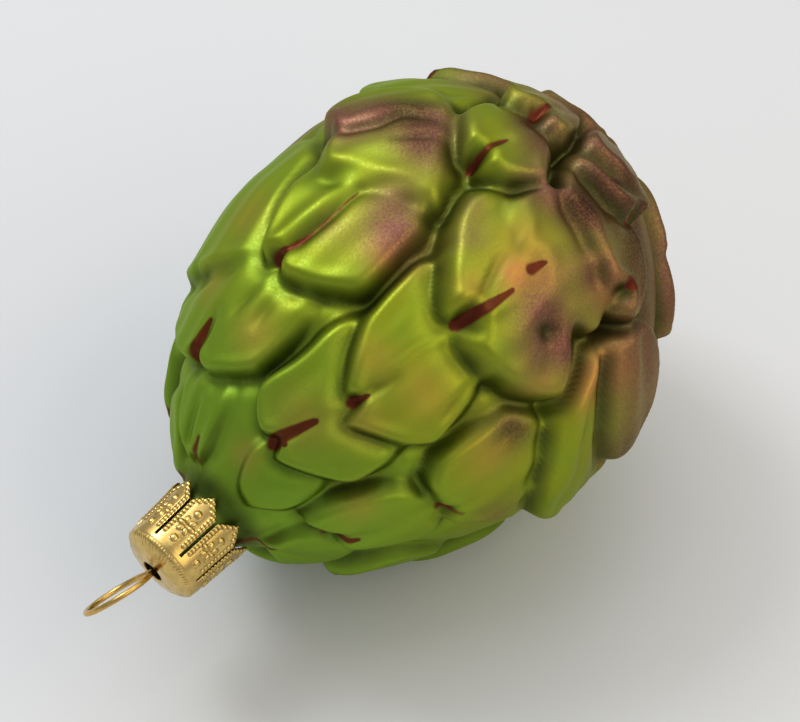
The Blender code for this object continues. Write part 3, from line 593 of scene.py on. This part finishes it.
def lacquer_layers(station, turn, height):
    """The masks of the lacquer's colours and of the painted shade, each from 0 to 1."""
    far = ramp(station, 66.0, 84.0)
    blush = 1 - (1 - spots(station, turn, BLUSH_SPOTS)) * (1 - 0.7 * far)
    gold = ramp(station, 12.0, 40.0) * ramp(turn_from(turn, 40.0), 130.0, 30.0)
    dabs = np.zeros(station.shape)
    for line, width, strength in DABS + row_dabs():
        distance, place = distance_to_line(station, turn, line)
        narrowed = width * (1.6 - place)
        dabs = np.maximum(dabs, strength * np.exp(-(distance / narrowed) ** 2))
    # Painted shade: darker green on steep walls and in hollows between the bracts.
    low = np.clip(0.8 * hollows(height) + 0.5 * walls(station, height), 0.0, 0.75)
    return {
        "gold": gold,
        "warm": spots(station, turn, WARM_SPOTS),
        "blush": blush,
        "shade": spots(station, turn, SHADE_SPOTS),
        # Painted shadow of the cap's petals on the glass near the neck.
        "painted_shade": np.maximum(low, 0.85 * ramp(station, 9.2, 7.0)),
        "dab": dabs,
    }


def turn_from(turn, middle):
    return np.abs((turn - middle + 180.0) % 360.0 - 180.0)


def band_quads(first, second):
    """Quads between two closed rings of vertex numbers."""
    return np.stack([first, np.roll(first, -1), np.roll(second, -1), second], axis=1)


def skin_quads(rings):
    return np.concatenate([band_quads(a, b) for a, b in zip(rings, rings[1:])])


def make_mesh(name, points, faces):
    mesh = bpy.data.meshes.new(name)
    mesh.from_pydata((np.asarray(points) * MM).tolist(), [], faces)
    mesh.update()
    mesh.shade_smooth()
    made = bpy.data.objects.new(name, mesh)
    bpy.context.collection.objects.link(made)
    return made


def skin(stations, turns, height, drop):
    """Points of one skin of the shell with its pole, and its rings of vertex numbers."""
    points = body_surface(stations, turns, height).reshape(-1, 3)
    pole = on_body(FAR_END - drop, 0.0, 0.0)
    rings = np.arange(stations.size).reshape(stations.shape)
    return np.vstack([points, pole]), rings


def pole_fan(starts, ends, pole):
    """Triangles to the point at the far end, each from one edge of the last ring."""
    return [[int(start), int(end), pole] for start, end in zip(starts, ends)]


def mouth_rim(outer, inner):
    """Faces across the rim of the mouth, each from one edge of the coarse inner ring."""
    count = len(inner)
    faces = []
    for k in range(count):
        run = [int(outer[(INNER_STEP * k + step) % COLUMNS]) for step in range(INNER_STEP, -1, -1)]
        faces.append(run + [int(inner[k]), int(inner[(k + 1) % count])])
    return faces


def make_glass():
    """The shell: a fine outer skin, a coarse inner one, and the rim of the open neck between them."""
    arcs = np.linspace(0.0, ARCS[-1], ROWS + 1)[:-1]
    stations, turns = np.meshgrid(station_at(arcs), np.arange(COLUMNS) * 360.0 / COLUMNS, indexing="ij")
    height = relief(stations, turns)
    outer, outer_rings = skin(stations, turns, height, 0.0)
    coarse = (slice(None, None, INNER_STEP), slice(None, None, INNER_STEP))
    thin, deep = INNER_DEPTH
    sunk = -thin - (deep - thin) * ramp(stations[coarse], RELIEF_START[0], RELIEF_START[1])
    inner, inner_rings = skin(stations[coarse], turns[coarse], sunk, deep)
    inner[:, 2] = np.maximum(inner[:, 2], thin)
    inner_rings = inner_rings + len(outer)
    faces = skin_quads(outer_rings).tolist() + skin_quads(inner_rings)[:, ::-1].tolist()
    last = outer_rings[-1]
    faces += pole_fan(last, np.roll(last, -1), len(outer) - 1)
    last = inner_rings[-1]
    faces += pole_fan(np.roll(last, -1), last, len(outer) + len(inner) - 1)
    faces += mouth_rim(outer_rings[0], inner_rings[0])
    glass = make_mesh("lacquered_glass_shell", np.vstack([outer, inner]), faces)
    for name, values in lacquer_layers(stations, turns, height).items():
        layer = glass.data.attributes.new(name, "FLOAT", "POINT")
        filled = np.zeros(len(outer) + len(inner), np.float32)
        filled[:stations.size] = values.ravel()
        layer.data.foreach_set("value", filled)
    glass.data.materials.append(lacquer())
    return glass


def petal_beads(half_width):
    """Places of the beads along a petal's two sides and its two tip edges: (across, station, radius)."""
    beads = []
    edge = half_width - BEAD_INSET
    corner = PETAL_SIDE_END - 0.15
    tip = PETAL_TIP - 0.62
    side_count = int((corner - SLOT_START - 0.3) / BEAD_PITCH)
    slant_count = int(math.hypot(edge, tip - corner) / BEAD_PITCH)
    for side in (-1, 1):
        for k in range(side_count):
            beads.append((side * edge, corner - k * BEAD_PITCH, BEAD_RADIUS))
        for k in range(1, slant_count):
            share = k / slant_count
            place = corner + (tip - corner) * share
            beads.append((side * edge * (1 - share), place, BEAD_RADIUS))
    beads.append((0.0, tip, TIP_BEAD_RADIUS))
    return beads


def dome(distance, radius, height):
    return height * np.sqrt(np.clip(1 - (distance / radius) ** 2, 0.0, 1.0))


def petal_relief(across, station, half_width):
    """Height stamped into a petal: beads on its border, a six-petalled flower and two dots."""
    height = np.zeros(across.shape)
    for x, y, radius in petal_beads(half_width):
        height = np.maximum(height, dome(np.hypot(across - x, station - y), radius, BEAD_HEIGHT))
    for y in DOT_STATIONS:
        height = np.maximum(height, dome(np.hypot(across, station - y), DOT_RADIUS, DOT_HEIGHT))
    above = station - FLOWER_STATION
    long, wide = FLOWER_OVAL
    for k in range(6):
        angle = math.radians(60 * k)
        u = across * math.cos(angle) + above * math.sin(angle)
        v = above * math.cos(angle) - across * math.sin(angle)
        oval = np.hypot((u - FLOWER_REACH) / long, v / wide)
        height = np.maximum(height, dome(oval, 1.0, FLOWER_HEIGHT))
    return height


def cap_angles():
    """Angles around the cap, in degrees, each gap's place in the pattern, and which gaps are slots."""
    pitch = 360.0 / PETALS
    angles = []
    slots = []
    for petal in range(PETALS):
        left = petal * pitch + SLOT_HALF_ANGLE
        width = pitch - 2 * SLOT_HALF_ANGLE
        for step in range(PETAL_COLUMNS + 1):
            angles.append(left + width * step / PETAL_COLUMNS)
            slots.append(step == PETAL_COLUMNS)
    return np.array(angles), slots


def cap_top_ring(share, angles):
    """One ring of the cap's top: the smooth dome, a faintly rippled band and the beaded ring."""
    arcs = np.concatenate([[0.0], np.cumsum(np.hypot(*np.diff(np.array(CAP_TOP), axis=0).T))])
    arc = share * arcs[-1]
    station = float(np.interp(arc, arcs, [p[0] for p in CAP_TOP]))
    radius = float(np.interp(arc, arcs, [p[1] for p in CAP_TOP]))
    pitch = 360.0 / RING_BEADS
    phase = (angles % pitch) / pitch - 0.5
    along = phase * 2 * math.pi * radius / RING_BEADS
    inward = arc - (arcs[-1] - RING_INSET)
    height = dome(np.hypot(along, inward), RING_BEAD_RADIUS, RING_BEAD_HEIGHT)
    band = math.exp(-((arc - arcs[-1] + 2.0) / 0.5) ** 2)
    ripple = 0.05 * np.cos(np.radians(angles) * 48 + 3 * arc) * band
    outward = min(1.0, arc / arcs[-1]) ** 2
    lift = height + ripple
    return on_body(station - lift * (1 - outward), radius + lift * outward, angles + CAP_TURN)


def petal_ring(share, angles):
    """One ring through the eight petals, from their base to their tips."""
    pitch = 360.0 / PETALS
    offset = (angles % pitch) - pitch / 2
    half_angle = pitch / 2 - SLOT_HALF_ANGLE
    tip = PETAL_TIP - (PETAL_TIP - PETAL_SIDE_END) * np.abs(offset) / half_angle
    station = SLOT_START + (tip - SLOT_START) * share
    flare = PETAL_FLARE * ((station - SLOT_START) / (PETAL_TIP - SLOT_START)) ** 2
    across = np.radians(offset) * CAP_RADIUS
    half_width = math.radians(half_angle) * CAP_RADIUS
    lift = petal_relief(across, station, half_width)
    return on_body(station, CAP_RADIUS + flare + lift, angles + CAP_TURN)


def make_cap():
    """Stamped cup with a hole on top and eight pointed petals around the neck."""
    angles, slots = cap_angles()
    rings = [cap_top_ring(row / TOP_ROWS, angles) for row in range(TOP_ROWS)]
    rings += [petal_ring(row / PETAL_ROWS, angles) for row in range(PETAL_ROWS + 1)]
    count = len(angles)
    faces = []
    for row in range(len(rings) - 1):
        for k in range(count):
            if row >= TOP_ROWS and slots[k]:
                continue
            after = (k + 1) % count
            faces.append([row * count + k, (row + 1) * count + k, (row + 1) * count + after,
                          row * count + after])
    cap = make_mesh("stamped_crown_cap", np.vstack(rings), faces)
    thickness = cap.modifiers.new("sheet", "SOLIDIFY")
    thickness.thickness = SHEET * MM
    thickness.offset = -1.0
    cap.data.materials.append(brass("stamped_brass", BRASS, 0.23, 0.10))
    return cap


def rounded(points, steps):
    """A smooth route through the points, by Catmull and Rom."""
    padded = [2 * points[0] - points[1]] + points + [2 * points[-1] - points[-2]]
    route = []
    for a, b, c, d in zip(padded, padded[1:], padded[2:], padded[3:]):
        for step in range(steps):
            t = step / steps
            route.append(0.5 * (2 * b + (c - a) * t + (2 * a - 5 * b + 4 * c - d) * t * t
                                + (3 * b - a - 3 * c + d) * t ** 3))
    route.append(points[-1])
    return route


def loop_route():
    """Centre line of the wire: leg, hole, ring, hole, leg."""
    along, up, side = axis_directions()
    turn = math.radians(LOOP_TURN)
    cross = math.cos(turn) * up - math.sin(turn) * side
    square = math.sin(turn) * up + math.cos(turn) * side
    lean = math.radians(LOOP_LEAN)
    outward = -math.cos(lean) * along + math.sin(lean) * square
    base = np.array(AXIS_START)
    hole = base + CAP_TOP[0][0] * along
    centre = hole + LOOP_REACH * outward
    ring = []
    for step in range(LOOP_STEPS + 1):
        angle = math.radians(LOOP_START_ANGLE + (180.0 - LOOP_START_ANGLE) * step / LOOP_STEPS)
        ring.append(centre - LOOP_RADIUS * math.cos(angle) * outward
                    + LOOP_RADIUS * math.sin(angle) * cross)
    leg = [base + LEG_END * along + LEG_SPREAD * cross,
           base - 0.5 * along + 0.55 * LEG_SPREAD * cross,
           hole + 0.9 * along + 1.2 * WIRE_GAP * cross,
           hole - 0.3 * along + WIRE_GAP * cross]
    half = leg + ring
    other = [point - 2 * np.dot(point - hole, cross) * cross for point in half[::-1][1:]]
    return rounded(half + other, 5)


def make_loop():
    """One bent wire: the loop outside and the two sprung legs inside the neck."""
    curve = bpy.data.curves.new("wire_loop", "CURVE")
    curve.dimensions = "3D"
    curve.bevel_depth = WIRE / 2 * MM
    curve.bevel_resolution = 5
    curve.use_fill_caps = True
    route = loop_route()
    spline = curve.splines.new("POLY")
    spline.points.add(len(route) - 1)
    spline.use_smooth = True
    for place, point in zip(spline.points, route):
        place.co = (*(point * MM), 1.0)
    loop = bpy.data.objects.new("wire_loop", curve)
    bpy.context.collection.objects.link(loop)
    loop.data.materials.append(brass("gilt_wire", GILT, 0.22, 0.03))
    return loop


def new_material(name):
    made = bpy.data.materials.new(name)
    made.use_nodes = True
    nodes = made.node_tree.nodes
    return made, nodes, made.node_tree.links, nodes["Principled BSDF"]


def mixed(nodes, links, factor, first, second):
    """A colour mix; first may be a colour or a socket, factor a socket."""
    mix = nodes.new("ShaderNodeMix")
    mix.data_type = "RGBA"
    links.new(factor, mix.inputs["Factor"])
    if isinstance(first, tuple):
        mix.inputs[6].default_value = (*first, 1.0)
    else:
        links.new(first, mix.inputs[6])
    mix.inputs[7].default_value = (*second, 1.0)
    return mix.outputs[2]


def computed(nodes, links, operation, first, second):
    """A clamped maths node on a socket and a socket or number."""
    node = nodes.new("ShaderNodeMath")
    node.operation = operation
    node.use_clamp = True
    for socket, value in zip(node.inputs, (first, second)):
        if isinstance(value, (int, float)):
            socket.default_value = value
        else:
            links.new(value, socket)
    return node.outputs[0]


def noise(nodes, links, size, detail):
    """Noise fixed to the object, with grains of about the given size in mm."""
    place = nodes.new("ShaderNodeTexCoord")
    texture = nodes.new("ShaderNodeTexNoise")
    texture.inputs["Scale"].default_value = 1.0 / (size * MM)
    texture.inputs["Detail"].default_value = detail
    links.new(place.outputs["Object"], texture.inputs["Vector"])
    return texture.outputs["Fac"]


def ranged(nodes, links, value, source, target):
    """The value's source range stretched over the target range, and clamped."""
    node = nodes.new("ShaderNodeMapRange")
    links.new(value, node.inputs["Value"])
    node.inputs["From Min"].default_value, node.inputs["From Max"].default_value = source
    node.inputs["To Min"].default_value, node.inputs["To Max"].default_value = target
    return node.outputs["Result"]


def layer_mask(nodes, links, name, speckle, amount):
    """A mask from the mesh, for the lacquer's colours and for the painted shade alike, broken up by the
    speckle of the spray gun.
    """
    attribute = nodes.new("ShaderNodeAttribute")
    attribute.attribute_name = name
    grain = ranged(nodes, links, speckle, (0.3, 0.7), (1.0 - amount, 1.0 + amount))
    return computed(nodes, links, "MULTIPLY", attribute.outputs["Fac"], grain)


def bump(nodes, links, shader, height, distance, strength):
    node = nodes.new("ShaderNodeBump")
    node.inputs["Distance"].default_value = distance * MM
    node.inputs["Strength"].default_value = strength
    links.new(height, node.inputs["Height"])
    links.new(node.outputs["Normal"], shader.inputs["Normal"])


def lacquer():
    """Satin metallic lacquer sprayed over silvered glass: greens, a blush, brushed dabs, and painted
    shade.
    """
    made, nodes, links, shader = new_material("lacquered_glass")
    speckle = noise(nodes, links, 0.35, 2.0)
    cloud = noise(nodes, links, 6.0, 3.0)
    colour = mixed(nodes, links, layer_mask(nodes, links, "gold", cloud, 0.35), GREEN, YELLOW_GREEN)
    # The dark shade layer is partly brown lacquer and partly painted shade.
    for name, amount, paint in (("warm", 0.3, WARM), ("blush", 0.22, BLUSH), ("shade", 0.28, DARK)):
        mask = layer_mask(nodes, links, name, speckle, amount)
        colour = mixed(nodes, links, mask, colour, paint)
    # Painted shade: dark green on walls, in hollows and near the neck.
    colour = mixed(nodes, links, layer_mask(nodes, links, "painted_shade", cloud, 0.2), colour, PAINTED_SHADE_GREEN)
    dab = layer_mask(nodes, links, "dab", cloud, 0.3)
    dab = ranged(nodes, links, dab, (0.25, 0.55), (0.0, 0.95))
    colour = mixed(nodes, links, dab, colour, DAB_RED)
    links.new(colour, shader.inputs["Base Color"])
    shader.inputs["Metallic"].default_value = 0.9
    links.new(ranged(nodes, links, speckle, (0.3, 0.7), (0.43, 0.55)), shader.inputs["Roughness"])
    shader.inputs["Specular Tint"].default_value = SHEEN_TINT
    shader.inputs["Coat Weight"].default_value = 0.08
    shader.inputs["Coat Roughness"].default_value = 0.22
    bump(nodes, links, shader, speckle, 0.05, 0.25)
    return made


def brass(name, colour, roughness, uneven):
    """Thin yellow brass with a slightly uneven polish."""
    made, nodes, links, shader = new_material(name)
    patches = noise(nodes, links, 1.2, 3.0)
    tarnish = tuple(part * 0.72 for part in colour)
    mask = ranged(nodes, links, patches, (0.35, 0.75), (0.0, 1.0))
    links.new(mixed(nodes, links, mask, colour, tarnish), shader.inputs["Base Color"])
    shader.inputs["Metallic"].default_value = 1.0
    shade = ranged(nodes, links, patches, (0.3, 0.7), (roughness - 0.04, roughness + 0.08))
    links.new(shade, shader.inputs["Roughness"])
    bump(nodes, links, shader, noise(nodes, links, 0.5, 2.0), 0.04, uneven)
    return made


def make_floor():
    """A large pale sheet under the ornament."""
    half = 1500.0
    floor = make_mesh("floor", [(-half, -half, 0), (half, -half, 0), (half, half, 0), (-half, half, 0)],
                      [[0, 1, 2, 3]])
    made, _, _, shader = new_material("pale_floor")
    shader.inputs["Base Color"].default_value = FLOOR_GREY
    shader.inputs["Roughness"].default_value = 0.6
    shader.inputs["Specular IOR Level"].default_value = 0.3
    floor.data.materials.append(made)
    floor.location.z = -0.02 * MM
    return floor


def view_directions():
    """Unit vectors to the right, up and towards the camera of the main view."""
    azimuth = math.radians(CAMERA_AZIMUTH)
    elevation = math.radians(CAMERA_ELEVATION)
    right = Vector((math.cos(azimuth), math.sin(azimuth), 0.0))
    back = Vector((math.sin(azimuth) * math.cos(elevation), -math.cos(azimuth) * math.cos(elevation),
                   math.sin(elevation)))
    return right, back.cross(right), back


def aim_point():
    """What the camera looks at, in mm: a point beside the ornament's axis."""
    along, up, side = axis_directions()
    right, upward, _ = view_directions()
    aim = np.array(AXIS_START) + AIM[0] * along + AIM[1] * up + AIM[2] * side
    return (Vector(aim) + right * (AIM_SHIFT[0] / PIXELS_PER_MM)
            + upward * (AIM_SHIFT[1] / PIXELS_PER_MM))


def make_camera():
    right, up, back = view_directions()
    data = bpy.data.cameras.new("camera")
    data.sensor_width = SENSOR
    data.lens = PIXELS_PER_MM * CAMERA_DISTANCE / FRAME_WIDTH * SENSOR
    data.clip_start = 0.01
    camera = bpy.data.objects.new("camera", data)
    bpy.context.collection.objects.link(camera)
    camera.location = (aim_point() + back * CAMERA_DISTANCE) * MM
    camera.rotation_euler = Matrix((right, up, back)).transposed().to_euler()
    bpy.context.scene.camera = camera


def softbox(name, place, width, height, power, colour):
    """An area light at the place, in metres, that faces the ornament."""
    data = bpy.data.lights.new(name, "AREA")
    data.shape = "RECTANGLE"
    data.size = width
    data.size_y = height
    data.energy = power
    data.color = colour
    light = bpy.data.objects.new(name, data)
    bpy.context.collection.objects.link(light)
    light.location = place
    light.rotation_euler = (Vector((0.0, 0.0, 0.03)) - Vector(place)).to_track_quat("-Z", "Y").to_euler()


def light_the_studio():
    """A soft room, two softboxes high behind the ornament and a warm fill at the camera's right."""
    world = bpy.data.worlds.new("soft room")
    world.use_nodes = True
    background = world.node_tree.nodes["Background"]
    background.inputs["Color"].default_value = ROOM_WHITE
    background.inputs["Strength"].default_value = ROOM_STRENGTH
    bpy.context.scene.world = world
    softbox("overhead", (0.16, 0.30, 0.76), 1.1, 1.1, 3.7, (1.0, 0.99, 0.97))
    softbox("window", (-0.06, 0.32, 0.55), 0.20, 0.20, 1.1, (0.98, 0.98, 1.0))
    softbox("fill", (0.20, -0.52, 0.50), 1.0, 0.6, 2.6, (1.0, 0.86, 0.60))
    bpy.context.scene.view_settings.view_transform = "Standard"


def dress(piece, node):
    """Puts a detailed piece in the place of its plain CAD node."""
    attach(piece, "root")
    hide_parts(node)


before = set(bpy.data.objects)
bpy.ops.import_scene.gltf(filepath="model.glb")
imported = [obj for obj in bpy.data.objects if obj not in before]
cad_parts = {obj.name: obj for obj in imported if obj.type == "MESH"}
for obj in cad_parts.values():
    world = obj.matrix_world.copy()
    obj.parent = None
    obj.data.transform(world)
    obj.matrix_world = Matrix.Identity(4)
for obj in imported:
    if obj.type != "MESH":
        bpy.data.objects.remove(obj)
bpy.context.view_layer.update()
make_camera()
dress(make_glass(), "glass_body")
dress(make_cap(), "crown_cap")
dress(make_loop(), "hanging_loop")
make_floor()
light_the_studio()
